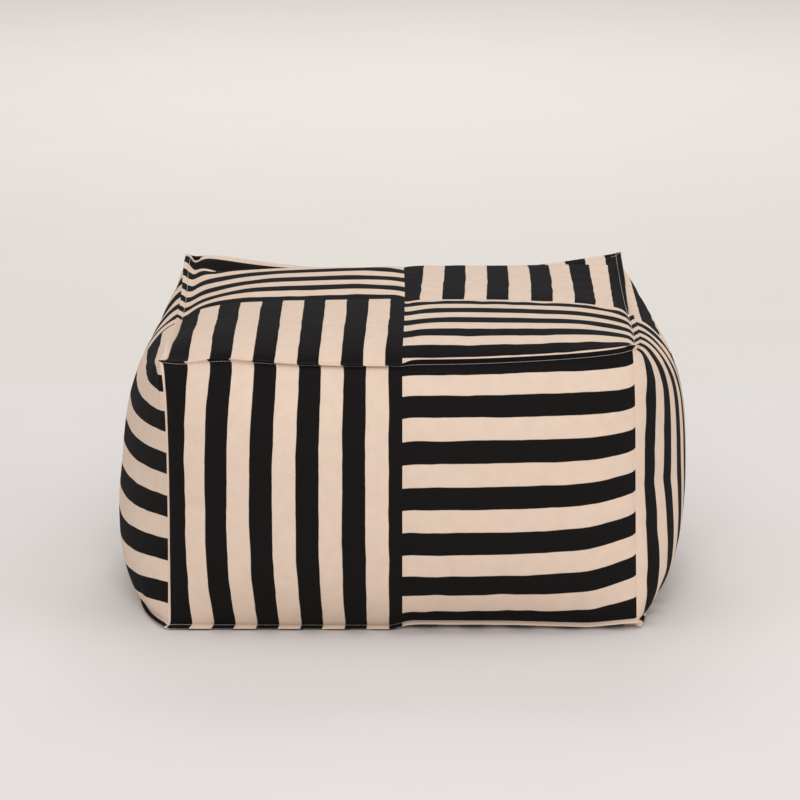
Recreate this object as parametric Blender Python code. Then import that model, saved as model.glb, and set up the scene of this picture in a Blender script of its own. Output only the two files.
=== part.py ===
"""Cube pouf stool: a square filled cover, modelled as one closed solid.

The cover is drafted first as the flat box that its panels would make if they were
only sewn and not filled. Each point of that box is then moved to where the filling
pushes it: the side panels bulge, the top crowns, the seams draw in, and the stitched
flange stands out along every edge and ends in a small ear at each corner.

Metres, +Z up, front towards -Y, origin in the middle of the base.
"""
import math

import bmesh
import bpy
from mathutils import Matrix, Vector

NAME = "cube_pouf_stool"

# The sewn cover laid out as an unfilled box, measured to the crests of its flanges.
FLAT_SIDE = 0.600
FLAT_HEIGHT = 0.366

# The flange: two layers of canvas, turned and stitched through near every panel's edge. A high
# crest power keeps it thick up to its fold.
FLANGE_WIDTH = 0.006
FLANGE_THICKNESS = 0.0036
FLANGE_BLEND = 0.012
FLANGE_CREST = 4
TOP_FLANGE_TILT = math.radians(50)
BASE_FLANGE_TILT = math.radians(18)
TOP_EAR = Vector((0.0044, -0.0044, 0.0062))
BASE_EAR = Vector((0.0048, -0.0048, -0.0016))

# Seam lines of the filled cover, half widths from the middle and heights from the floor.
TOP_CORNER = 0.290
TOP_CORNER_HEIGHT = 0.359
TOP_SEAM_DIP = 0.027
TOP_SEAM_CURVE = 2.5
BASE_CORNER = 0.2895
BASE_SEAM_HEIGHT = 0.0065
CORNER_SEAM_PULL = 0.006

# The filled sides, front, right, back and left. The left side has slumped, so it is fullest
# low down. FULLEST_HEIGHT is a share of half the side's height, above its middle.
TOP_SEAM_PULL = (0.0156, 0.0064, 0.0156, 0.0064)
BASE_SEAM_PUSH = (0.0, 0.006, 0.0, 0.016)
BULGE = (0.063, 0.079, 0.063, 0.0705)
FULLEST_HEIGHT = (0.0, 0.04, 0.0, -0.16)

# How full each kind of panel is towards its seams: a high roundness is flat in the middle,
# a low fullness is steep at the seam.
ACROSS_ROUNDNESS = 3.4
ACROSS_FULLNESS = (0.58, 0.48, 0.58, 0.48)
UPRIGHT_ROUNDNESS = 2.5
UPRIGHT_FULLNESS = (0.63, 0.51, 0.63, 0.48)
SEAM_SOFTNESS = 0.012

# The crown of the top, a little higher towards the back.
CROWN = 0.066
CROWN_ROUNDNESS = 2.8
CROWN_FULLNESS = 0.72
CROWN_LEAN = 0.2

# The plain seam down the middle of every face, drawn into a shallow groove.
GROOVE_DEPTH = 0.003
GROOVE_REACH = 0.024

# The base rests flat but for a rim that turns up to its seam.
BASE_RIM = 0.020
BASE_SEAM_CURVE = 4

# The front left top corner has folded down and back, less and less further down the side.
SLUMP_SHIFT = Vector((-0.004, 0.026, -0.036))
SLUMP_REACH = 0.070
SLUMP_FADE = 3

# Lines cut across the flat box, as distances in from its edges.
FLANGE_LINES = (0.25 * FLANGE_WIDTH, FLANGE_WIDTH)
PANEL_LINES = (0.010, 0.016, 0.026, 0.042, 0.064, 0.092, 0.126, 0.165, 0.205, 0.243, 0.272, 0.290)
HEIGHT_LINES = (0.010, 0.016, 0.026, 0.042, 0.064, 0.092, 0.122, 0.153)

CANVAS_COLOUR = (0.73, 0.56, 0.46, 1.0)
CANVAS_ROUGHNESS = 0.85

FRONT, RIGHT, BACK, LEFT = range(4)
TOUCHING = 1e-6


def quarter_turns(vector, turns):
    """A vector of the front panel, turned about Z to the panel that is this many turns on."""
    return Matrix.Rotation(turns * math.pi / 2, 3, "Z") @ vector


def dome(share, roundness, fullness):
    """Fullness across a panel: 1 in its middle and 0 at its seams, share from -1 to 1."""
    rim = max(0.0, 1 - abs(share) ** roundness)
    low = SEAM_SOFTNESS ** fullness
    high = (1 + SEAM_SOFTNESS) ** fullness
    return ((rim + SEAM_SOFTNESS) ** fullness - low) / (high - low)


def groove(distance, along):
    """Depth of the groove at a distance from a face's middle seam, along it from -1 to 1."""
    across = max(0.0, 1 - abs(distance) / GROOVE_REACH) ** 2
    return GROOVE_DEPTH * across * math.sqrt(1 - along ** 2)


def top_seam(share, turns):
    """The seam between the top and a side, from its left end (-1) to its right end (1)."""
    slack = 1 - abs(share) ** TOP_SEAM_CURVE
    return Vector((
        share * TOP_CORNER,
        TOP_SEAM_PULL[turns] * slack - TOP_CORNER,
        TOP_CORNER_HEIGHT - TOP_SEAM_DIP * slack,
    ))


def base_seam(share, turns):
    """The seam between the base and a side."""
    pushed_out = BASE_SEAM_PUSH[turns] * (1 - share ** BASE_SEAM_CURVE)
    return Vector((share * BASE_CORNER, -BASE_CORNER - pushed_out, BASE_SEAM_HEIGHT))


def side_panel(across, up, turns):
    """A point of the filled side, across and up each from -1 to 1."""
    rise = (up + 1) / 2
    point = top_seam(across, turns) * rise + base_seam(across, turns) * (1 - rise)
    upright = 1 - up ** 2
    point.x -= CORNER_SEAM_PULL * upright * across
    point.y += CORNER_SEAM_PULL * upright
    from_fullest = up - FULLEST_HEIGHT[turns] * upright
    fullness = dome(across, ACROSS_ROUNDNESS, ACROSS_FULLNESS[turns])
    fullness *= dome(from_fullest, UPRIGHT_ROUNDNESS, UPRIGHT_FULLNESS[turns])
    point.y -= BULGE[turns] * fullness - groove(across * TOP_CORNER, up)
    return quarter_turns(point, turns)


def top_panel(right, back):
    """A point of the filled top, right and back each from -1 to 1."""
    from_left = (right + 1) / 2
    from_front = (back + 1) / 2
    point = top_seam(right, FRONT) * (1 - from_front)
    point += quarter_turns(top_seam(-right, BACK), BACK) * from_front
    point += quarter_turns(top_seam(-back, LEFT), LEFT) * (1 - from_left)
    point += quarter_turns(top_seam(back, RIGHT), RIGHT) * from_left
    corners = Vector((right * TOP_CORNER, back * TOP_CORNER, TOP_CORNER_HEIGHT))
    point -= corners
    fullness = dome(right, CROWN_ROUNDNESS, CROWN_FULLNESS) * dome(back, CROWN_ROUNDNESS, CROWN_FULLNESS)
    point.z += CROWN * fullness * (1 + CROWN_LEAN * back)
    point.z -= groove(right * TOP_CORNER, back) + groove(back * TOP_CORNER, right)
    return point


def base_panel(right, back):
    """A point of the base: flat on the floor, with its rim turned up to the seam."""
    from_left = (right + 1) / 2
    from_front = (back + 1) / 2
    point = base_seam(right, FRONT) * (1 - from_front)
    point += quarter_turns(base_seam(-right, BACK), BACK) * from_front
    point += quarter_turns(base_seam(-back, LEFT), LEFT) * (1 - from_left)
    point += quarter_turns(base_seam(back, RIGHT), RIGHT) * from_left
    point -= Vector((right * BASE_CORNER, back * BASE_CORNER, 0))
    from_seam = (1 - max(abs(right), abs(back))) * BASE_CORNER
    point.z = BASE_SEAM_HEIGHT * max(0.0, 1 - from_seam / BASE_RIM) ** 2
    return point


def split_at_seam(place, half):
    """A place on the flat panel as a share of the way to its seam, and a share of the flange."""
    to_seam = half - FLANGE_WIDTH
    share = max(-1.0, min(1.0, place / to_seam))
    past_seam = max(0.0, (abs(place) - to_seam) / FLANGE_WIDTH)
    return share, past_seam


def flange_side(place, half, past_seam):
    """How far this layer of the flange, and the cloth next to it, stands off the flange's middle."""
    if past_seam > 0:
        return FLANGE_THICKNESS / 2 * (1 - past_seam ** FLANGE_CREST)
    from_seam = half - FLANGE_WIDTH - abs(place)
    return FLANGE_THICKNESS / 2 * max(0.0, 1 - from_seam / FLANGE_BLEND) ** 2


def with_flange(point, first, second, ear):
    """Add the flange of the two nearest edges; each edge is (direction, side, past_seam, stand_off)."""
    out_1, side_1, past_1, off_1 = first
    out_2, side_2, past_2, off_2 = second
    moved = point + out_1 * FLANGE_WIDTH * past_1 * (1 - past_2)
    moved += out_2 * FLANGE_WIDTH * past_2 * (1 - past_1)
    moved += ear * past_1 * past_2
    moved += side_1 * off_1 * (1 - past_2 ** FLANGE_CREST)
    moved += side_2 * off_2 * (1 - past_1 ** FLANGE_CREST)
    return moved


TOP_OUT = Vector((0, -math.cos(TOP_FLANGE_TILT), math.sin(TOP_FLANGE_TILT)))
TOP_SIDE = Vector((0, math.sin(TOP_FLANGE_TILT), math.cos(TOP_FLANGE_TILT)))
BASE_OUT = Vector((0, -math.cos(BASE_FLANGE_TILT), -math.sin(BASE_FLANGE_TILT)))
BASE_SIDE = Vector((0, math.sin(BASE_FLANGE_TILT), -math.cos(BASE_FLANGE_TILT)))
CORNER_OUT = Vector((math.sqrt(0.5), -math.sqrt(0.5), 0))
CORNER_SIDE = Vector((-math.sqrt(0.5), -math.sqrt(0.5), 0))
MIRROR_X = Matrix.Diagonal((-1, 1, 1))


def level_place(flat, panel, out, side, ear):
    """A point of the top or the base, from its place on the flat box."""
    half = FLAT_SIDE / 2
    right, past_right = split_at_seam(flat.x, half)
    back, past_back = split_at_seam(flat.y, half)
    x_edge = RIGHT if flat.x > 0 else LEFT
    y_edge = BACK if flat.y > 0 else FRONT
    corner = Vector((math.copysign(ear.x, flat.x), math.copysign(ear.y, flat.y), ear.z))
    edges = []
    for place, past, turns in ((flat.x, past_right, x_edge), (flat.y, past_back, y_edge)):
        stand_off = flange_side(place, half, past)
        edges.append((quarter_turns(out, turns), quarter_turns(side, turns), past, stand_off))
    return with_flange(panel(right, back), edges[0], edges[1], corner)


def upright_place(flat, turns):
    """A point of a side, from its place on the flat box."""
    local = quarter_turns(flat, -turns)
    half = FLAT_SIDE / 2
    half_height = FLAT_HEIGHT / 2
    across, past_across = split_at_seam(local.x, half)
    up, past_up = split_at_seam(local.z - half_height, half_height)
    out, side, ear = (TOP_OUT, -TOP_SIDE, TOP_EAR) if up > 0 else (BASE_OUT, -BASE_SIDE, BASE_EAR)
    handed = Matrix.Identity(3) if local.x > 0 else MIRROR_X
    upright_edge = (
        quarter_turns(handed @ CORNER_OUT, turns),
        quarter_turns(handed @ CORNER_SIDE, turns),
        past_across,
        flange_side(local.x, half, past_across),
    )
    level_edge = (
        quarter_turns(out, turns),
        quarter_turns(side, turns),
        past_up,
        flange_side(local.z - half_height, half_height, past_up),
    )
    corner = quarter_turns(handed @ ear, turns)
    return with_flange(side_panel(across, up, turns), upright_edge, level_edge, corner)


def slumped(point):
    """Fold the front left top corner down and back."""
    from_corner = Vector((point.x + TOP_CORNER, point.y + TOP_CORNER)).length
    nearness = math.exp(-(from_corner / SLUMP_REACH) ** 2)
    high = max(0.0, min(1.0, point.z / TOP_CORNER_HEIGHT)) ** SLUMP_FADE
    return point + SLUMP_SHIFT * nearness * high


def filled(flat):
    """Where a point of the flat box is once the cover is filled."""
    half = FLAT_SIDE / 2
    if flat.z > FLAT_HEIGHT - TOUCHING:
        point = level_place(flat, top_panel, TOP_OUT, TOP_SIDE, TOP_EAR)
    elif flat.z < TOUCHING:
        point = level_place(flat, base_panel, BASE_OUT, BASE_SIDE, BASE_EAR)
    elif flat.y < TOUCHING - half:
        point = upright_place(flat, FRONT)
    elif flat.x > half - TOUCHING:
        point = upright_place(flat, RIGHT)
    elif flat.y > half - TOUCHING:
        point = upright_place(flat, BACK)
    else:
        point = upright_place(flat, LEFT)
    return slumped(point)


def cut_box(box, axis, places):
    """Cut the box across one axis at each place, keeping both sides of every cut."""
    normal = Vector((0, 0, 0))
    normal[axis] = 1
    for place in places:
        geometry = box.verts[:] + box.edges[:] + box.faces[:]
        bmesh.ops.bisect_plane(box, geom=geometry, plane_co=normal * place, plane_no=normal, dist=TOUCHING)


def lines_across(half, distances):
    """Places of the cut lines on both halves of an axis and on its middle."""
    inner = [half - distance for distance in FLANGE_LINES + distances]
    return [-place for place in inner] + [0.0] + inner


def flat_cover():
    """The unfilled cover as a box, cut into the small patches that the filling will curve."""
    box = bmesh.new()
    bmesh.ops.create_cube(box, size=1)
    bmesh.ops.scale(box, vec=(FLAT_SIDE, FLAT_SIDE, FLAT_HEIGHT), verts=box.verts)
    bmesh.ops.translate(box, vec=(0, 0, FLAT_HEIGHT / 2), verts=box.verts)
    across = lines_across(FLAT_SIDE / 2, PANEL_LINES)
    upright = [FLAT_HEIGHT / 2 + place for place in lines_across(FLAT_HEIGHT / 2, HEIGHT_LINES)]
    cut_box(box, 0, across)
    cut_box(box, 1, across)
    cut_box(box, 2, upright)
    return box


def merge_flat_base(cover):
    """Join the patches that lie on the floor into one flat face."""
    resting = [face for face in cover.faces if all(abs(vert.co.z) < TOUCHING for vert in face.verts)]
    bmesh.ops.dissolve_faces(cover, faces=resting, use_verts=True)


def canvas_material():
    """Undyed cotton canvas, the ground colour of the striped cloth."""
    material = bpy.data.materials.new("striped_canvas")
    material.use_nodes = True
    shader = material.node_tree.nodes["Principled BSDF"]
    shader.inputs["Base Color"].default_value = CANVAS_COLOUR
    shader.inputs["Roughness"].default_value = CANVAS_ROUGHNESS
    shader.inputs["Metallic"].default_value = 0.0
    return material


def filled_cover():
    """The filled cover: thirteen sewn panels and their filling, as one solid."""
    cover = flat_cover()
    for vert in cover.verts:
        vert.co = filled(vert.co)
    merge_flat_base(cover)
    bmesh.ops.recalc_face_normals(cover, faces=cover.faces)
    mesh = bpy.data.meshes.new("filled_cover")
    cover.to_mesh(mesh)
    cover.free()
    mesh.shade_smooth()
    mesh.set_sharp_from_angle(angle=math.radians(60))
    mesh.materials.append(canvas_material())
    return bpy.data.objects.new("filled_cover", mesh)


for leftover in list(bpy.data.objects):
    bpy.data.objects.remove(leftover, do_unlink=True)
parts = bpy.data.collections.new(NAME)
bpy.context.scene.collection.children.link(parts)
parts.objects.link(filled_cover())
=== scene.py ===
"""Cube pouf stool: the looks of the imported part.

A square floor pouf of black and cream striped canvas. Thirteen panels are sewn into a cover, with a
stitched flange round the top and the base, and the cover is filled until its sides bulge.
Metres, +Z up, front towards -Y.
"""

import bmesh
import bpy
import numpy as np
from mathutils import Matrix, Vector


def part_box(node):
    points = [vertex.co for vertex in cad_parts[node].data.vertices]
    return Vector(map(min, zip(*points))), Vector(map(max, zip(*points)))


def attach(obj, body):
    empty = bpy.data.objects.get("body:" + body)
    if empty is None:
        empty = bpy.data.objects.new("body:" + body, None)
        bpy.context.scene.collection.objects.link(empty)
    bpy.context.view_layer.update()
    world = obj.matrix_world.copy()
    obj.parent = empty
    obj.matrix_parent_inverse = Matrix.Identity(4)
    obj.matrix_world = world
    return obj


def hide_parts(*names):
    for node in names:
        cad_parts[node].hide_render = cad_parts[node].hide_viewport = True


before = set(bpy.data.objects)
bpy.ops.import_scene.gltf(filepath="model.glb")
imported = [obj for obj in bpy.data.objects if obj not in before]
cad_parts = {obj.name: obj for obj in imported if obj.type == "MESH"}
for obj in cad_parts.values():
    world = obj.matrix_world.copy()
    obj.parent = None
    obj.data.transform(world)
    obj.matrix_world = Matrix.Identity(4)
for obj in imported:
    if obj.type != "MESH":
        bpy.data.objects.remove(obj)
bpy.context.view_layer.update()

# ---- The seams round the top and the base ------------------------------------------------------
# Strong lines of stitching hold the panels' edges together. Between its corners the filling draws
# the top's seam in and lets it dip, and pushes the base's seam out along the floor.
TOP_CORNER = 0.2895
TOP_CORNER_HEIGHT = 0.3569
TOP_SEAM_CURVE = 2.48
BASE_CORNER = 0.2875
BASE_SEAM_CURVE = 4
BASE_SEAM_HEIGHT = 0.0065

# The sides are counted in quarter turns from the front. For each: what its top seam dips and is
# drawn in by, and what its base seam is pushed out by.
FRONT, RIGHT, BACK, LEFT = range(4)
TOP_SEAM_DIP = (0.0275, 0.0190, 0.0150, 0.0265)
TOP_SEAM_PULL = (0.0150, -0.0005, 0.0150, 0.0058)
BASE_SEAM_PUSH = (0.0, 0.014, 0.0, 0.039)

# The front's seams are less even: from left to right, the share of the dip that each place has at
# the top, and the height of the seam at the base.
FRONT_DIP = ((-1.0, 1.0), (-0.65, 1.12), (-0.35, 1.03), (-0.02, 1.0), (0.06, 0.95), (1.0, 0.95))
FRONT_BASE_HEIGHT = (
    (-1.0, 0.0045),
    (-0.04, 0.0040),
    (0.03, 0.0100),
    (0.45, 0.0095),
    (0.80, 0.0065),
    (1.0, 0.0120),
)


def points_at(x, y, z):
    """One array of points from three arrays or numbers."""
    return np.stack(np.broadcast_arrays(x, y, z), axis=-1)


def read_along(table, share):
    """A value read from a short table of (share, value) rows."""
    shares, values = zip(*table)
    return np.interp(share, shares, values)


def top_seam(share, turns):
    """The stitch line between the top and a side, from the side's left end to its right end."""
    slack = 1 - np.abs(share) ** TOP_SEAM_CURVE
    dip = TOP_SEAM_DIP[turns] * (read_along(FRONT_DIP, share) if turns == FRONT else 1)
    height = TOP_CORNER_HEIGHT - dip * slack
    return points_at(share * TOP_CORNER, TOP_SEAM_PULL[turns] * slack - TOP_CORNER, height)


def base_seam(share, turns):
    """The stitch line between the base and a side."""
    pushed_out = BASE_SEAM_PUSH[turns] * (1 - share ** BASE_SEAM_CURVE)
    height = read_along(FRONT_BASE_HEIGHT, share) if turns == FRONT else BASE_SEAM_HEIGHT
    return points_at(share * BASE_CORNER, -BASE_CORNER - pushed_out, height)


# ---- The filled sides --------------------------------------------------------------------------
# Each side is two panels joined down its middle, and the filling bulges it. It is fullest, and
# roundest, about halfway up, it follows its straight seams at the top and the base, and the middle
# seam draws in a shallow groove.

# Four values stand for the front, right, back and left.
ACROSS_ROUNDNESS = (3.4, 2.2, 3.4, 2.0)
ACROSS_FULLNESS = (0.58, 0.85, 0.58, 1.0)
SEAM_ROUNDNESS = 3.4
TOP_SEAM_FULLNESS = (0.58, 0.40, 0.58, 0.40)
BASE_SEAM_FULLNESS = (0.58, 0.45, 0.58, 0.80)
TOP_SEAM_HOLD = 3.0
BASE_SEAM_HOLD = 1.2
UPRIGHT_ROUNDNESS = 2.5
UPRIGHT_FULLNESS = (0.63, 0.51, 0.63, 0.62)
FULLEST_HEIGHT = (0.0, 0.04, 0.0, 0.02)
CORNER_SEAM_PULL = 0.002
BASE_PUSH_FADE = 3
SEAM_SOFTNESS = 0.012
GROOVE_DEPTH = 0.003
GROOVE_REACH = 0.024


def turned(points, turns):
    """Points of the front, turned about Z to the side this many quarter turns on."""
    x, y, z = np.moveaxis(points, -1, 0)
    for _ in range(turns % 4):
        x, y = -y, x
    return np.stack((x, y, z), axis=-1)


def dome(share, roundness, fullness):
    """Fullness across a face: 1 in its middle and 0 at its seams, share from -1 to 1."""
    rim = np.maximum(0.0, 1 - np.abs(share) ** roundness)
    seam = SEAM_SOFTNESS ** fullness
    middle = (1 + SEAM_SOFTNESS) ** fullness
    return ((rim + SEAM_SOFTNESS) ** fullness - seam) / (middle - seam)


def groove(distance, along):
    """Depth of the groove beside a face's middle seam."""
    across = np.maximum(0.0, 1 - np.abs(distance) / GROOVE_REACH) ** 2
    return GROOVE_DEPTH * across * np.sqrt(np.maximum(0.0, 1 - along ** 2))


def side_face(across, up, turns):
    """The filled side, across and up each from -1 to 1 between its stitch lines."""
    rise = ((up + 1) / 2)[:, None]
    point = top_seam(across, turns) * rise + base_seam(across, turns) * (1 - rise)
    # What the base seam is pushed out by is soon lost above the floor.
    pushed_out = -BASE_CORNER - base_seam(across, turns)[:, 1:2]
    point[:, 1:2] += pushed_out * ((1 - rise) - (1 - rise) ** BASE_PUSH_FADE)
    upright = 1 - up ** 2
    point[:, 0] -= CORNER_SEAM_PULL * upright * across
    point[:, 1] += CORNER_SEAM_PULL * upright
    by_top = np.maximum(up, 0.0) ** TOP_SEAM_HOLD
    by_base = np.maximum(-up, 0.0) ** BASE_SEAM_HOLD
    fullness = dome(across, ACROSS_ROUNDNESS[turns], ACROSS_FULLNESS[turns]) * (1 - by_top - by_base)
    fullness += dome(across, SEAM_ROUNDNESS, TOP_SEAM_FULLNESS[turns]) * by_top
    fullness += dome(across, SEAM_ROUNDNESS, BASE_SEAM_FULLNESS[turns]) * by_base
    from_fullest = up - FULLEST_HEIGHT[turns] * upright
    fullness *= dome(from_fullest, UPRIGHT_ROUNDNESS, UPRIGHT_FULLNESS[turns])
    point[:, 1] -= BULGE[turns] * fullness - groove(across * TOP_CORNER, up)
    return turned(point, turns)


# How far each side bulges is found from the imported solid, so that both reach equally far.
BULGE = [0.06] * 4
lowest, highest = (np.array(corner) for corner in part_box("filled_cover"))
reach_of_solid = (-lowest[1], highest[0], highest[1], -lowest[0])
shares = np.linspace(-1, 1, 41)
across, up = (part.ravel() for part in np.meshgrid(shares, shares))
for turns in (FRONT, RIGHT, BACK, LEFT) * 3:
    reached = -turned(side_face(across, up, turns), -turns)[:, 1].min()
    BULGE[turns] += reach_of_solid[turns] - reached

# ---- The filled top ----------------------------------------------------------------------------
# The top is four panels joined in a cross, and the filling crowns it. Its left half is crowned more
# squarely than its right half. The seam across it has settled in front of the middle, and deep
# creases lie behind the crown and down its left edge.
CROWN = 0.048
CROWN_ROUNDNESS = (2.85, 2.65)
CROWN_FULLNESS = (0.72, 0.77)
SHOULDER = 0.0065
SHOULDER_REACH = 0.005
LEFT_SHOULDER_REACH = 0.015
CROSS_GROOVE = 0.5

# How deep the back crease is, how far it lies from the seam and how wide it reaches, and the same for
# the left one, whose depth is given from front to back.
BACK_CREASE = 0.031
BACK_CREASE_AT = 0.031
BACK_CREASE_REACH = 0.016
LEFT_CREASE = ((-1.0, 0.0), (-0.3, 0.001), (0.2, 0.004), (0.8, 0.008), (1.0, 0.008))
LEFT_CREASE_AT = 0.009
LEFT_CREASE_REACH = 0.007

# How far in front of the middle the seam across the top lies, from left to right.
CROSS_SEAM = (
    (-1.0, 0.0),
    (-0.70, 0.010),
    (-0.35, 0.027),
    (-0.01, 0.027),
    (0.01, 0.040),
    (0.60, 0.040),
    (0.85, 0.026),
    (1.0, 0.0),
)


def between_seams(right, back, seam, corner_height):
    """A smooth face spanned between four seams, before it is crowned."""
    from_left = ((right + 1) / 2)[:, None]
    from_front = ((back + 1) / 2)[:, None]
    point = seam(right, FRONT) * (1 - from_front)
    point += turned(seam(-right, BACK), BACK) * from_front
    point += turned(seam(-back, LEFT), LEFT) * (1 - from_left)
    point += turned(seam(back, RIGHT), RIGHT) * from_left
    corner = seam(np.ones(1), LEFT)[0]
    return point - points_at(right * corner[0], back * corner[0], corner_height)


def crease(distance, at, reach):
    """Depth of a crease, as a share of its deepest, at a distance from the seam beside it."""
    return np.exp(-(((distance - at) / reach) ** 2))


def top_face(right, back):
    """The filled top, right and back each from -1 to 1 between its stitch lines."""
    settled = back - read_along(CROSS_SEAM, right) / TOP_CORNER * (1 - back ** 2)
    point = between_seams(right, settled, top_seam, TOP_CORNER_HEIGHT)
    halves = [dome(right, *shape) for shape in zip(CROWN_ROUNDNESS, CROWN_FULLNESS)]
    fullness = np.where(right < 0, halves[0], halves[1])
    point[:, 2] += CROWN * fullness * dome(settled, CROWN_ROUNDNESS[0], CROWN_FULLNESS[0])
    from_back = TOP_CORNER * (1 - settled)
    point[:, 2] -= BACK_CREASE * crease(from_back, BACK_CREASE_AT, BACK_CREASE_REACH) * (1 - right ** 4)
    # Behind the flange the cloth first rises along it, then turns over into the crown.
    from_side = TOP_CORNER * (1 - np.abs(right))
    beside = 1 - np.exp(-from_side / np.where(right < 0, LEFT_SHOULDER_REACH, SHOULDER_REACH))
    beside *= 1 - np.exp(-TOP_CORNER * (1 - np.abs(settled)) / SHOULDER_REACH)
    point[:, 2] += SHOULDER * beside
    by_left = read_along(LEFT_CREASE, settled) * crease(from_side, LEFT_CREASE_AT, LEFT_CREASE_REACH)
    point[:, 2] -= np.where(right < 0, by_left, 0)
    point[:, 2] -= groove(right * TOP_CORNER, back) + CROSS_GROOVE * groove(back * TOP_CORNER, right)
    return point


# ---- The base ----------------------------------------------------------------------------------
# One square panel of plain canvas, sewn to the sides. It lies flat on the floor under the pouf's
# weight, and only its rim turns up to the seam.
BASE_RIM = 0.020


def base_face(right, back):
    """The base, right and back each from -1 to 1 between its stitch lines."""
    point = between_seams(right, back, base_seam, 0.0)
    at_front = (back < 0) & (np.abs(back) >= np.abs(right))
    height = np.where(at_front, read_along(FRONT_BASE_HEIGHT, right), BASE_SEAM_HEIGHT)
    from_seam = (1 - np.maximum(np.abs(right), np.abs(back))) * BASE_CORNER
    point[:, 2] = height * np.maximum(0.0, 1 - from_seam / BASE_RIM) ** 2
    return point


# ---- The flanges and ears ----------------------------------------------------------------------
# Outside each seam the two panels' edges stand out together as a narrow stitched flange. Where two
# flanges meet at a corner they make a small ear. The upright edges have only a thin ridge.
FLANGE_WIDTH = 0.008
FLANGE_THICKNESS = 0.0034
FLANGE_BLEND = 0.012
FLANGE_CREST = 4
TOP_EAR = np.array((0.0062, -0.0062, 0.0066))
BASE_EAR = np.array((0.0052, -0.0052, 0.0004))
UPRIGHT_RIDGE = 0.0014
RIDGE_THICKNESS = 0.0016

# The flange's lean above level, in degrees. Along the front, from left to right, its left half lies
# forward over the front and its right half stands up.
EDGE_LEAN = 42
BASE_LEAN = -14
FRONT_LEAN = (
    (-1.0, 50),
    (-0.85, 40),
    (-0.66, 20),
    (-0.50, 10),
    (-0.30, 4),
    (-0.02, 3),
    (0.04, 56),
    (1.0, 54),
)

# The cover before it is filled is a flat-sided box, measured to the folds of its flanges. Each piece
# of cloth is first drafted on this box and then laid where the filling holds it.
COVER_SIDE = 0.600
COVER_HEIGHT = 0.366
HALF = COVER_SIDE / 2
MIDDLE = COVER_HEIGHT / 2
TINY = 1e-6


def split_at_seam(place, half):
    """A place on the flat cover as a share of the way to its stitch line, and a share of the flange."""
    to_seam = half - FLANGE_WIDTH
    share = np.clip(place / to_seam, -1, 1)
    past_seam = np.clip((np.abs(place) - to_seam) / FLANGE_WIDTH, 0, 1)
    return share, past_seam


def stand_off(place, half, past_seam, thickness):
    """How far the cloth stands off the middle of the flange's two layers."""
    from_seam = half - FLANGE_WIDTH - np.abs(place)
    beside = np.maximum(0.0, 1 - np.maximum(from_seam, 0.0) / FLANGE_BLEND) ** 2
    return thickness / 2 * np.where(past_seam > 0, 1 - past_seam ** FLANGE_CREST, beside)


def with_flange(point, first, second, ear):
    """Add the flange of the two nearest edges: (reach, side, past_seam, stand_off) for each."""
    reach_1, side_1, past_1, off_1 = first
    reach_2, side_2, past_2, off_2 = second
    moved = point + reach_1 * (past_1 * (1 - past_2))[:, None]
    moved += reach_2 * (past_2 * (1 - past_1))[:, None]
    moved += ear * (past_1 * past_2)[:, None]
    moved += side_1 * (off_1 * (1 - past_2 ** FLANGE_CREST))[:, None]
    moved += side_2 * (off_2 * (1 - past_1 ** FLANGE_CREST))[:, None]
    return moved


def flange_frame(share, turns, top):
    """The flange's reach from stitch line to fold, and the direction through its two layers."""
    if not top:
        lean = np.full_like(share, BASE_LEAN)
    elif turns == FRONT:
        lean = read_along(FRONT_LEAN, share)
    else:
        lean = np.full_like(share, EDGE_LEAN)
    lean = np.radians(lean)
    reach = FLANGE_WIDTH * points_at(0.0, -np.cos(lean), np.sin(lean))
    side = points_at(0.0, np.sin(lean), np.cos(lean))
    return reach, side if top else -side


def level_place(flat, top):
    """Points of the top or the base, from their places on the flat cover."""
    right, past_right = split_at_seam(flat[:, 0], HALF)
    back, past_back = split_at_seam(flat[:, 1], HALF)
    ear = TOP_EAR if top else BASE_EAR
    corner = points_at(np.copysign(ear[0], right), np.copysign(ear[1], back), ear[2])
    point = top_face(right, back) if top else base_face(right, back)
    edges = []
    for place, past, shares, sides in (
        (flat[:, 0], past_right, (back, -back), (RIGHT, LEFT)),
        (flat[:, 1], past_back, (-right, right), (BACK, FRONT)),
    ):
        off = stand_off(place, HALF, past, FLANGE_THICKNESS)
        ahead = (place > 0)[:, None]
        frames = [flange_frame(share, turns, top) for share, turns in zip(shares, sides)]
        reach, side = (
            np.where(ahead, turned(frames[0][part], sides[0]), turned(frames[1][part], sides[1]))
            for part in (0, 1)
        )
        edges.append((reach, side, past, off))
    return with_flange(point, edges[0], edges[1], corner)


def upright_place(flat, turns):
    """Points of a side, from their places on the flat cover."""
    local = turned(flat, -turns)
    across, past_across = split_at_seam(local[:, 0], HALF)
    up, past_up = split_at_seam(local[:, 2] - MIDDLE, MIDDLE)
    handed = np.where(local[:, 0] > 0, 1.0, -1.0)
    diagonal = np.sqrt(0.5)
    ridge = turned(points_at(UPRIGHT_RIDGE * diagonal * handed, -UPRIGHT_RIDGE * diagonal, 0.0), turns)
    beside = turned(points_at(-diagonal * handed, -diagonal, 0.0), turns)
    upright_off = stand_off(local[:, 0], HALF, past_across, RIDGE_THICKNESS)
    above = (up > 0)[:, None]
    top_reach, top_side = flange_frame(across, turns, True)
    base_reach, base_side = flange_frame(across, turns, False)
    reach = turned(np.where(above, top_reach, base_reach), turns)
    side = turned(-np.where(above, top_side, base_side), turns)
    off = stand_off(local[:, 2] - MIDDLE, MIDDLE, past_up, FLANGE_THICKNESS)
    ears = np.where(above, TOP_EAR, BASE_EAR)
    ear = turned(points_at(ears[:, 0] * handed, ears[:, 1], ears[:, 2]), turns)
    upright_edge = (ridge, beside, past_across, upright_off)
    level_edge = (reach, side, past_up, off)
    return with_flange(side_face(across, up, turns), upright_edge, level_edge, ear)


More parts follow.
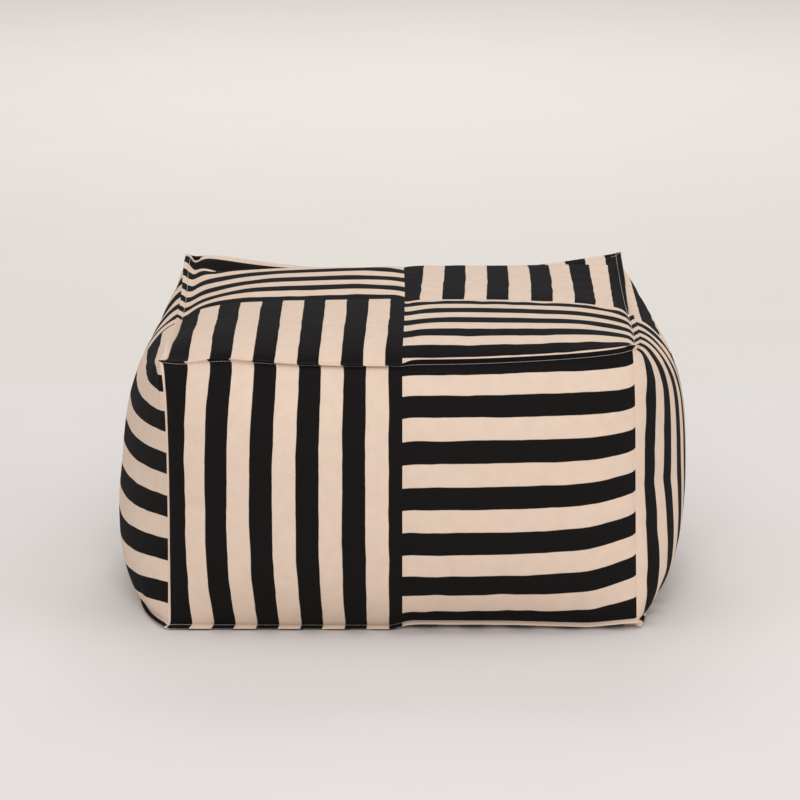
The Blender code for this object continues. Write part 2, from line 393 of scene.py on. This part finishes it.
def stuffed(flat):
    """Where the filling holds each point of the flat cover, its corners all true."""
    placed = np.empty_like(flat)
    x, y, z = flat.T
    level = (z > COVER_HEIGHT - TINY) | (z < TINY)
    at_face = {
        FRONT: (y < TINY - HALF) & ~level,
        RIGHT: (x > HALF - TINY) & ~level,
        BACK: (y > HALF - TINY) & ~level,
        LEFT: (x < TINY - HALF) & ~level,
    }
    at_face[RIGHT] &= ~at_face[FRONT]
    at_face[BACK] &= ~at_face[RIGHT]
    at_face[LEFT] &= ~(at_face[FRONT] | at_face[BACK])
    for turns, here in at_face.items():
        placed[here] = upright_place(flat[here], turns)
    for here, top in ((z > COVER_HEIGHT - TINY, True), (z < TINY, False)):
        placed[here] = level_place(flat[here], top)
    return placed


# ---- The loose corners -------------------------------------------------------------------------
# The filling holds the top corners a little out of true: the front left one is drawn down and back,
# the front right one in, and the back ones are lifted, with a pocket inside the back left one.

# One row for each pull: the corner's side of X and Y, how far it has moved, how far the cloth follows
# along the seams and inwards from them, and how fast that fades below the top.
EVERYWHERE = 1.0
LOOSE_CORNERS = (
    (-1, -1, (0.000, 0.021, -0.033), 0.064, EVERYWHERE, 8.0),
    (-1, -1, (-0.007, 0.004, 0.003), 0.018, EVERYWHERE, 8.0),
    (1, -1, (-0.0065, 0.0, -0.0060), 0.100, EVERYWHERE, 1.5),
    (1, -1, (-0.0060, 0.004, 0.0000), 0.012, EVERYWHERE, 8.0),
    (-1, 1, (0.0, 0.0, 0.0110), 0.190, 0.022, 2.0),
    (-1, 1, (0.0, 0.0, -0.0100), 0.120, EVERYWHERE, 8.0),
    (-1, 1, (0.0, 0.0, 0.0100), 0.120, 0.016, 8.0),
    (-1, 1, (0.003, -0.002, -0.005), 0.030, EVERYWHERE, 8.0),
    (1, 1, (0.0, 0.0, 0.0065), 0.130, 0.060, 2.0),
)


def drawn_aside(point):
    """The cover with its loose corners moved."""
    moved = point.copy()
    high = 1 - np.clip(np.abs(point[:, 2] - COVER_HEIGHT) / COVER_HEIGHT, 0, 1)
    for right, back, shift, along, inward, fade in LOOSE_CORNERS:
        behind_side = np.maximum(TOP_CORNER - right * point[:, 0], 0)
        behind_end = np.maximum(TOP_CORNER - back * point[:, 1], 0)
        from_corner = np.hypot(behind_side, behind_end)
        from_seams = behind_side * behind_end / (behind_side + behind_end + TINY)
        follows = np.exp(-((from_corner / along) ** 2) - (from_seams / inward) ** 2)
        moved += np.array(shift) * (follows * high ** fade)[:, None]
    return moved


# ---- The sewn panels ---------------------------------------------------------------------------
# Four striped quarters for the top, two striped halves for each side and one plain square for the
# base, all of heavy cotton twill. Each is cut as a grid with the cloth's own measure as its UV map,
# across the stripes and along them in metres, and its edges are sewn to its neighbours'.
STRIPE_WIDTH = 0.0287
CREST_LINES = (0.0, 0.0014, 0.0045, 0.0080, 0.0095, 0.0125, 0.0170, 0.0230, 0.0310)
MIDDLE_LINES = (0.0120, 0.0045, 0.0)
CELL = 0.0100
WELD = 1e-4
STRIPED, PLAIN = 0, 1

DOWN, INWARD = "down", "inward"
FROM_SIDE, FROM_END = "from side", "from end"

# One row for each striped panel of a side: which side, its left or right half, the way its stripes
# are counted from its outer or top fold, how many it has, the first one's share and its colour.
SIDE_PANELS = (
    (FRONT, -1, INWARD, 10.75, 0.13, "cream"),
    (FRONT, 1, DOWN, 13.26, 0.96, "black"),
    (RIGHT, -1, INWARD, 10.77, 0.90, "cream"),
    (RIGHT, 1, DOWN, 13.22, 0.85, "cream"),
    (BACK, -1, INWARD, 10.77, 0.15, "cream"),
    (BACK, 1, DOWN, 13.22, 0.91, "black"),
    (LEFT, -1, INWARD, 10.77, 0.60, "cream"),
    (LEFT, 1, DOWN, 13.40, 1.20, "cream"),
)

# One row for each quarter of the top: left or right, front or back, the edge its stripes are
# counted from, how many it has, the first one's share and its colour, and how far the stripes drift
# by the middle seam, in stripes.
TOP_PANELS = (
    (-1, -1, FROM_SIDE, 11.13, 0.34, "cream", 0.0),
    (1, -1, FROM_END, 10.25, 0.60, "cream", 0.0),
    (1, 1, FROM_SIDE, 11.02, 0.87, "black", -0.35),
    (-1, 1, FROM_END, 11.05, 0.32, "cream", 0.0),
)


def grid_lines(start, stop):
    """Places of even grid lines between two others, without those two."""
    steps = round((stop - start) / CELL)
    return np.linspace(start, stop, steps + 1)[1:-1]


def cut_lines(length):
    """Places of a half panel's grid lines, from its fold to the middle seam."""
    between = grid_lines(CREST_LINES[-1], length - MIDDLE_LINES[0])
    return np.concatenate((CREST_LINES, between, length - np.array(MIDDLE_LINES)))


def both_ends(length):
    """Places of grid lines from one fold to the opposite one."""
    between = grid_lines(CREST_LINES[-1], length - CREST_LINES[-1])
    return np.concatenate((CREST_LINES, between, length - np.array(CREST_LINES[::-1])))


def side_lattice(turns, half):
    """Flat points of half a side, from its upright fold to the middle and from top to base."""
    across = half * (HALF - cut_lines(HALF))
    down = COVER_HEIGHT - both_ends(COVER_HEIGHT)
    return turned(points_at(across[:, None], -HALF, down[None, :]), turns)


def top_lattice(right, back):
    """Flat points of a quarter of the top, from its outer folds to the middle."""
    inward = HALF - cut_lines(HALF)
    return points_at(right * inward[:, None], back * inward[None, :], COVER_HEIGHT)


def base_lattice():
    """Flat points of the base, from left to right and from front to back."""
    inward = HALF - cut_lines(HALF)
    lines = np.concatenate((-inward, inward[-2::-1]))
    return points_at(lines[:, None], lines[None, :], 0.0)


def measured(lattice, axis):
    """Length of cloth along one way of a lattice of flat points, once it is filled."""
    held = stuffed(lattice.reshape(-1, 3)).reshape(lattice.shape)
    steps = np.linalg.norm(np.diff(held, axis=axis), axis=-1)
    start = np.zeros_like(np.take(steps, [0], axis=axis))
    return np.concatenate((start, np.cumsum(steps, axis=axis)), axis=axis)


def striped_measure(lattice, axis, stripes, first, colour, drift=0.0):
    """The cloth's measure across its stripes and along them. Odd stripes are black."""
    across = measured(lattice, axis)
    share = across / np.take(across, [-1], axis=axis)
    offset = 2 if colour == "black" else 1
    along = measured(lattice, 1 - axis)
    drifted = drift * along / np.take(along, [-1], axis=1 - axis)
    return (share * stripes - first + offset + drifted) * STRIPE_WIDTH, along


def sew_in(cloth, lattice, measure, canvas):
    """Add a panel to the cover as a grid whose points are the lattice's."""
    rows, columns = lattice.shape[:2]
    grid = bmesh.ops.create_grid(cloth, x_segments=rows - 1, y_segments=columns - 1, size=1)
    order = sorted(grid["verts"], key=lambda vert: (round(vert.co.x, 5), round(vert.co.y, 5)))
    uv_map = cloth.loops.layers.uv["cloth"]
    across, along = (part.ravel() for part in measure)
    for vert, place, u, v in zip(order, lattice.reshape(-1, 3), across, along):
        vert.co = place
        for loop in vert.link_loops:
            loop[uv_map].uv = (u, v)
            loop.face.material_index = canvas


def point_values(mesh, name="position"):
    """A point attribute of a mesh as one row of three numbers for each point."""
    values = np.empty(len(mesh.vertices) * 3)
    mesh.attributes[name].data.foreach_get("vector", values)
    return values.reshape(-1, 3)


cloth = bmesh.new()
cloth.loops.layers.uv.new("cloth")
for turns, half, counted, stripes, first, colour in SIDE_PANELS:
    lattice = side_lattice(turns, half)
    axis = 1 if counted == DOWN else 0
    sew_in(cloth, lattice, striped_measure(lattice, axis, stripes, first, colour), STRIPED)
for right, back, counted, stripes, first, colour, drift in TOP_PANELS:
    lattice = top_lattice(right, back)
    axis = 1 if counted == FROM_END else 0
    sew_in(cloth, lattice, striped_measure(lattice, axis, stripes, first, colour, drift), STRIPED)
lattice = base_lattice()
sew_in(cloth, lattice, (measured(lattice, 0), measured(lattice, 1)), PLAIN)
bmesh.ops.remove_doubles(cloth, verts=cloth.verts, dist=WELD)
bmesh.ops.recalc_face_normals(cloth, faces=cloth.faces)

mesh = bpy.data.meshes.new("canvas_cover")
cloth.to_mesh(mesh)
cloth.free()
cover = bpy.data.objects.new("canvas_cover", mesh)
bpy.context.scene.collection.objects.link(cover)

flat = point_values(mesh)
mesh.vertices.foreach_set("co", drawn_aside(stuffed(flat)).ravel())
mesh.attributes.new("flat", "FLOAT_VECTOR", "POINT").data.foreach_set("vector", flat.ravel())
mesh.update()

# ---- The filling -------------------------------------------------------------------------------
# Loose filling presses the panels outwards from within. Their edges are held by the seams and the
# base by the floor, so the cloth between takes up small wrinkles. The faces already have their
# fullness, so of the cloth's movement only the wrinkles are kept.
WRINKLE_SHARE = 0.45
WRINKLE_LIMIT = 0.004
SMOOTHING_ROUNDS = 40
HELD_BY_FLANGE = 0.0130
LAST_FRAME = 20


def neighbour_mean(values, ends, counts):
    """Each point's mean over its neighbours along the mesh's edges."""
    total = np.zeros_like(values)
    np.add.at(total, ends[:, 0], values[ends[:, 1]])
    np.add.at(total, ends[:, 1], values[ends[:, 0]])
    return total / counts


# Every point lies on one face of the flat box, so its next nearest face lies behind its nearest fold.
x, y, z = flat.T
from_faces = np.stack((HALF - np.abs(x), HALF - np.abs(y), MIDDLE - np.abs(z - MIDDLE)))
from_fold = np.sort(from_faces, axis=0)[1]
on_seam = (np.abs(x) < TINY) | (np.abs(y) < TINY)
held = (from_fold < HELD_BY_FLANGE) | (z < TINY) | on_seam
sewn = cover.vertex_groups.new(name="sewn")
sewn.add(np.flatnonzero(held).tolist(), 1.0, "REPLACE")

start = point_values(mesh)
filling = cover.modifiers.new("filling", "CLOTH")
filling.settings.quality = 5
filling.settings.mass = 0.3
filling.settings.tension_stiffness = 15
filling.settings.compression_stiffness = 15
filling.settings.bending_stiffness = 0.8
filling.settings.use_pressure = True
filling.settings.uniform_pressure_force = 4
filling.settings.shrink_min = -0.02
filling.settings.vertex_group_mass = "sewn"
filling.settings.effector_weights.gravity = 0
filling.point_cache.frame_start = 1
filling.point_cache.frame_end = LAST_FRAME
for number in range(1, LAST_FRAME + 1):
    bpy.context.scene.frame_set(number)
seen = cover.evaluated_get(bpy.context.evaluated_depsgraph_get()).to_mesh()
moved = point_values(seen) - start
cover.modifiers.remove(filling)
bpy.context.scene.frame_set(1)
ends = np.array([edge.vertices[:] for edge in mesh.edges])
counts = np.bincount(ends.ravel(), minlength=len(moved))[:, None]
swelling = moved
for _ in range(SMOOTHING_ROUNDS):
    swelling = neighbour_mean(swelling, ends, counts)
    swelling[held] = 0
wrinkles = WRINKLE_SHARE * (moved - swelling)
wrinkles[held] = 0
length = np.linalg.norm(wrinkles, axis=1, keepdims=True)
wrinkles *= np.minimum(1, WRINKLE_LIMIT / np.maximum(length, TINY))
mesh.vertices.foreach_set("co", (start + wrinkles).ravel())
cover.vertex_groups.clear()

smooth = cover.modifiers.new("smooth", "SUBSURF")
smooth.levels = 1
smooth.render_levels = 1
smooth.uv_smooth = "NONE"
fine_mesh = bpy.data.meshes.new_from_object(cover.evaluated_get(bpy.context.evaluated_depsgraph_get()))
cover.modifiers.clear()
cover.data = fine_mesh
fine_mesh.name = "canvas_cover"
bpy.data.meshes.remove(mesh)
mesh = fine_mesh
for face in mesh.polygons:
    face.use_smooth = True
flat = point_values(mesh, "flat")

# ---- The canvas --------------------------------------------------------------------------------
# Heavy cotton twill with woven stripes, cream and black, equally wide, and plain cream for the base.
# The stripes are read from the cloth's own measure, so they run as each panel was cut.
CREAM = (0.730, 0.570, 0.455)
BLACK = (0.0085, 0.0068, 0.0070)
TWILL_PITCH = 0.0024
TWILL_HEIGHT = 0.0002
CLOUD_SHADE = 0.16
RIB_SHADE = 0.065
YARN_SHADE = 0.10
STRIPE_WANDER = 0.0030
STRIPE_FRAY = 0.0008
STRIPE_BLEND = 0.012


def new_material(name):
    """A material with its node tree and Principled BSDF."""
    material = bpy.data.materials.new(name)
    material.use_nodes = True
    return material, material.node_tree, material.node_tree.nodes["Principled BSDF"]


def add_node(tree, kind, inputs=(), **settings):
    """A node with its settings, and its inputs from values or from other nodes' outputs."""
    node = tree.nodes.new(kind)
    for name, value in settings.items():
        setattr(node, name, value)
    for key, value in dict(inputs).items():
        if isinstance(value, bpy.types.NodeSocket):
            tree.links.new(value, node.inputs[key])
        else:
            node.inputs[key].default_value = value
    return node


def reckoned(tree, operation, first, second=0.0, third=0.0):
    """The result of a Math node."""
    inputs = {0: first, 1: second, 2: third}
    return add_node(tree, "ShaderNodeMath", inputs, operation=operation).outputs[0]


def speckle(tree, vector, scale, detail):
    """A noise from 0 to 1."""
    inputs = {"Vector": vector, "Scale": scale, "Detail": detail}
    return add_node(tree, "ShaderNodeTexNoise", inputs).outputs[0]


def dyed(tree, colour, shade):
    """A colour times a shade that varies over the surface."""
    inputs = {0: colour, "Scale": shade}
    return add_node(tree, "ShaderNodeVectorMath", inputs, operation="SCALE").outputs[0]


def weave_canvas(name, striped):
    """Twill canvas, striped or plain."""
    material, tree, shader = new_material(name)
    cloth_uv = add_node(tree, "ShaderNodeUVMap", uv_map="cloth").outputs[0]
    split = add_node(tree, "ShaderNodeSeparateXYZ", {0: cloth_uv})
    across, along = split.outputs[0], split.outputs[1]
    # The twill's fine ribs run diagonally over the cloth, and the yarn is a little uneven.
    diagonal = reckoned(tree, "ADD", across, along)
    yarn = speckle(tree, cloth_uv, 900.0, 2.0)
    rib = reckoned(tree, "MULTIPLY", diagonal, 2 * np.pi / TWILL_PITCH)
    rib = reckoned(tree, "SINE", reckoned(tree, "MULTIPLY_ADD", yarn, 1.6, rib))
    uneven = reckoned(tree, "SUBTRACT", yarn, 0.5)
    cloud = speckle(tree, cloth_uv, 60.0, 4.0)
    shade = reckoned(tree, "MULTIPLY_ADD", cloud, CLOUD_SHADE, 1 - CLOUD_SHADE / 2)
    shade = reckoned(tree, "MULTIPLY_ADD", rib, RIB_SHADE, shade)
    shade = reckoned(tree, "MULTIPLY_ADD", uneven, YARN_SHADE, shade)
    colour = dyed(tree, CREAM, shade)
    if striped:
        wander = reckoned(tree, "SUBTRACT", speckle(tree, cloth_uv, 22.0, 2.0), 0.5)
        edge = reckoned(tree, "MULTIPLY_ADD", wander, STRIPE_WANDER, across)
        edge = reckoned(tree, "MULTIPLY_ADD", uneven, STRIPE_FRAY, edge)
        # Every pair of stripes is one turn. The black one's middle is three quarters of the way round.
        turn = reckoned(tree, "FRACT", reckoned(tree, "DIVIDE", edge, 2 * STRIPE_WIDTH))
        from_black = reckoned(tree, "ABSOLUTE", reckoned(tree, "SUBTRACT", turn, 0.75))
        black = reckoned(tree, "DIVIDE", reckoned(tree, "SUBTRACT", 0.25, from_black), STRIPE_BLEND)
        black = add_node(tree, "ShaderNodeClamp", {0: reckoned(tree, "ADD", black, 0.5)}).outputs[0]
        mix = add_node(tree, "ShaderNodeMix", data_type="RGBA")
        tree.links.new(black, mix.inputs["Factor"])
        tree.links.new(colour, mix.inputs[6])
        # The weave shows twice as strongly on the black.
        deeper = reckoned(tree, "MULTIPLY_ADD", shade, 2.0, -1.0)
        tree.links.new(dyed(tree, BLACK, deeper), mix.inputs[7])
        colour = mix.outputs[2]
    tree.links.new(colour, shader.inputs["Base Color"])
    height = reckoned(tree, "MULTIPLY_ADD", rib, 0.5, yarn)
    relief = {"Height": height, "Distance": TWILL_HEIGHT, "Strength": 0.6}
    tree.links.new(add_node(tree, "ShaderNodeBump", relief).outputs[0], shader.inputs["Normal"])
    shader.inputs["Roughness"].default_value = 0.92
    shader.inputs["Specular IOR Level"].default_value = 0.10
    return material


mesh.materials.clear()
mesh.materials.append(weave_canvas("striped_canvas", True))
mesh.materials.append(weave_canvas("plain_canvas", False))

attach(cover, "root")
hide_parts("filled_cover")

# ---- The topstitching --------------------------------------------------------------------------
# Pale thread along the foot of each flange, in short even stitches on both of its faces, but for the
# front's upper one. Each stitch is a small swelling of thread between two holes.
STITCH_PITCH = 0.0033
STITCH_LENGTH = 0.0027
STITCH_FULLNESS = 0.6
THREAD_RADIUS = 0.00032
THREAD_LIFT = 0.0003
THREAD_COLOUR = (0.62, 0.58, 0.54)
ON_LINE = 1e-5

normals = np.empty(len(mesh.vertices) * 3)
mesh.vertices.foreach_get("normal", normals)
surface = point_values(mesh) + normals.reshape(-1, 3) * THREAD_LIFT
on_top = flat[:, 2] > COVER_HEIGHT - TINY
on_base = flat[:, 2] < TINY
lines = bpy.data.curves.new("stitch_lines", "CURVE")
lines.dimensions = "3D"
for turns in (FRONT, RIGHT, BACK, LEFT):
    here = turned(flat, -turns)
    on_side = here[:, 1] < TINY - HALF
    at_foot = np.abs(here[:, 1] + HALF - FLANGE_WIDTH) < ON_LINE
    stitched = [
        on_side & (np.abs(flat[:, 2] - COVER_HEIGHT + FLANGE_WIDTH) < ON_LINE),
        on_side & (np.abs(flat[:, 2] - FLANGE_WIDTH) < ON_LINE),
        on_base & at_foot,
    ]
    if turns != FRONT:
        stitched.insert(2, on_top & at_foot)
    for line in stitched:
        chosen = np.flatnonzero(line)
        chosen = chosen[np.argsort(here[chosen, 0])]
        spline = lines.splines.new("POLY")
        spline.points.add(len(chosen) - 1)
        for point, place in zip(spline.points, surface[chosen]):
            point.co = (*place, 1)

thread_material, tree, shader = new_material("white_thread")
place = add_node(tree, "ShaderNodeTexCoord").outputs["Object"]
twist = add_node(tree, "ShaderNodeMapRange", {0: speckle(tree, place, 1400.0, 2.0), 3: 0.80, 4: 1.0})
tree.links.new(dyed(tree, THREAD_COLOUR, twist.outputs[0]), shader.inputs["Base Color"])
shader.inputs["Roughness"].default_value = 0.6

stitch_mesh = bpy.data.meshes.new("one_stitch")
stitch = bmesh.new()
bmesh.ops.create_uvsphere(stitch, u_segments=6, v_segments=5, radius=1)
for vert in stitch.verts:
    full = abs(vert.co.z) ** STITCH_FULLNESS
    vert.co = (
        vert.co.x * THREAD_RADIUS,
        vert.co.y * THREAD_RADIUS,
        np.sign(vert.co.z) * full * STITCH_LENGTH / 2,
    )
stitch.to_mesh(stitch_mesh)
stitch.free()
one_stitch = bpy.data.objects.new("one_stitch", stitch_mesh)

sewing = bpy.data.node_groups.new("sewing", "GeometryNodeTree")
for name, kind, in_out in (
    ("Lines", "NodeSocketGeometry", "INPUT"),
    ("Stitch", "NodeSocketObject", "INPUT"),
    ("Pitch", "NodeSocketFloat", "INPUT"),
    ("Thread", "NodeSocketMaterial", "INPUT"),
    ("Stitches", "NodeSocketGeometry", "OUTPUT"),
):
    sewing.interface.new_socket(name=name, in_out=in_out, socket_type=kind)
given = sewing.nodes.new("NodeGroupInput").outputs
spacing = {"Curve": given["Lines"], "Length": given["Pitch"]}
spaced = add_node(sewing, "GeometryNodeResampleCurve", spacing, mode="LENGTH").outputs[0]
along = add_node(sewing, "GeometryNodeInputTangent").outputs[0]
aligned = add_node(sewing, "FunctionNodeAlignRotationToVector", {"Vector": along}, axis="Z").outputs[0]
source = add_node(sewing, "GeometryNodeObjectInfo", {"Object": given["Stitch"]}).outputs["Geometry"]
laid = {"Points": spaced, "Instance": source, "Rotation": aligned}
laid = add_node(sewing, "GeometryNodeInstanceOnPoints", laid).outputs[0]
laid = add_node(sewing, "GeometryNodeRealizeInstances", {0: laid}).outputs[0]
dressed = add_node(sewing, "GeometryNodeSetMaterial", {"Geometry": laid, "Material": given["Thread"]})
sewing.links.new(dressed.outputs[0], sewing.nodes.new("NodeGroupOutput").inputs[0])

line_object = bpy.data.objects.new("stitch_lines", lines)
bpy.context.scene.collection.objects.link(line_object)
bpy.context.scene.collection.objects.link(one_stitch)
sewer = line_object.modifiers.new("sewing", "NODES")
sewer.node_group = sewing
sockets = [item for item in sewing.interface.items_tree if item.in_out == "INPUT"]
identifiers = {item.name: item.identifier for item in sockets}
sewer[identifiers["Stitch"]] = one_stitch
sewer[identifiers["Pitch"]] = STITCH_PITCH
sewer[identifiers["Thread"]] = thread_material
sewn_lines = line_object.evaluated_get(bpy.context.evaluated_depsgraph_get())
topstitching = bpy.data.objects.new("topstitching", bpy.data.meshes.new_from_object(sewn_lines))
bpy.context.scene.collection.objects.link(topstitching)
bpy.data.objects.remove(line_object)
bpy.data.objects.remove(one_stitch)
for face in topstitching.data.polygons:
    face.use_smooth = True

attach(topstitching, "root")

# ---- The room ----------------------------------------------------------------------------------
# A pale floor with a plain pale ground beyond it, both flat so that the pouf is seen from all round,
# soft light from all sides with a wide lamp above, and the camera at the photo's angle.
ROOM_WIDTH = 12.0
ROOM_START = -6.0
FLOOR_END = 1.20
ROOM_END = 9.0
FLOOR_COLOUR = (0.781, 0.740, 0.723)
GROUND_COLOUR = (0.776, 0.731, 0.687)
DAYLIGHT = 0.43

# One row for each lamp: its name, where it hangs, the point it faces, its size and power in watts.
LAMPS = (
    ("lamp_above", (0.0, -0.2, 3.0), (0, 0, 0.2), 3.0, 23),
    ("lamp_front", (0.0, -7.0, 3.6), (0, 0, 0.3), 3.5, 220),
    ("lamp_right", (4.0, -1.6, 1.6), (0, 0, 0.3), 3.0, 46),
    ("lamp_left", (-4.0, -1.6, 1.6), (0, 0, 0.3), 3.0, 25),
    ("lamp_behind", (0.0, 5.0, 4.0), (0, 4.6, 0), 3.0, 112),
)

CAMERA_PLACE = (-0.0029, -5.229, 1.3287)
CAMERA_AIM = (-0.0029, 0, 0.2279)
CAMERA_LENS = 186.7


def plain_paint(name, colour):
    """A flat paint with a faint unevenness."""
    material, tree, shader = new_material(name)
    place = add_node(tree, "ShaderNodeTexCoord").outputs["Object"]
    cloud = add_node(tree, "ShaderNodeMapRange", {0: speckle(tree, place, 3.0, 3.0), 3: 0.98, 4: 1.02})
    tree.links.new(dyed(tree, colour, cloud.outputs[0]), shader.inputs["Base Color"])
    shader.inputs["Roughness"].default_value = 0.9
    return material


def facing(place, aim):
    """The turn that makes a lamp or a camera at a place face a point."""
    return (Vector(aim) - Vector(place)).to_track_quat("-Z", "Y").to_euler()


room = bmesh.new()
rows = []
for y in (ROOM_START, FLOOR_END, ROOM_END):
    rows.append([room.verts.new((x, y, 0)) for x in (-ROOM_WIDTH / 2, ROOM_WIDTH / 2)])
for number, (near, far) in enumerate(zip(rows, rows[1:])):
    room.faces.new((near[0], near[1], far[1], far[0])).material_index = number
room_mesh = bpy.data.meshes.new("studio")
room.to_mesh(room_mesh)
room.free()
room_mesh.materials.append(plain_paint("pale_floor", FLOOR_COLOUR))
room_mesh.materials.append(plain_paint("pale_ground", GROUND_COLOUR))
studio = bpy.data.objects.new("studio", room_mesh)
bpy.context.scene.collection.objects.link(studio)

for name, place, aim, size, power in LAMPS:
    lamp = bpy.data.lights.new(name, "AREA")
    lamp.shape = "SQUARE"
    lamp.size = size
    lamp.energy = power
    holder = bpy.data.objects.new(name, lamp)
    holder.location = place
    holder.rotation_euler = facing(place, aim)
    bpy.context.scene.collection.objects.link(holder)

world = bpy.data.worlds.new("room_light")
world.use_nodes = True
world.node_tree.nodes["Background"].inputs["Color"].default_value = (1, 1, 1, 1)
world.node_tree.nodes["Background"].inputs["Strength"].default_value = DAYLIGHT
bpy.context.scene.world = world
bpy.context.scene.view_settings.view_transform = "Standard"

camera_data = bpy.data.cameras.new("camera")
camera_data.sensor_width = 36
camera_data.lens = CAMERA_LENS
camera = bpy.data.objects.new("camera", camera_data)
camera.location = CAMERA_PLACE
camera.rotation_euler = facing(CAMERA_PLACE, CAMERA_AIM)
bpy.context.scene.collection.objects.link(camera)
bpy.context.scene.camera = camera
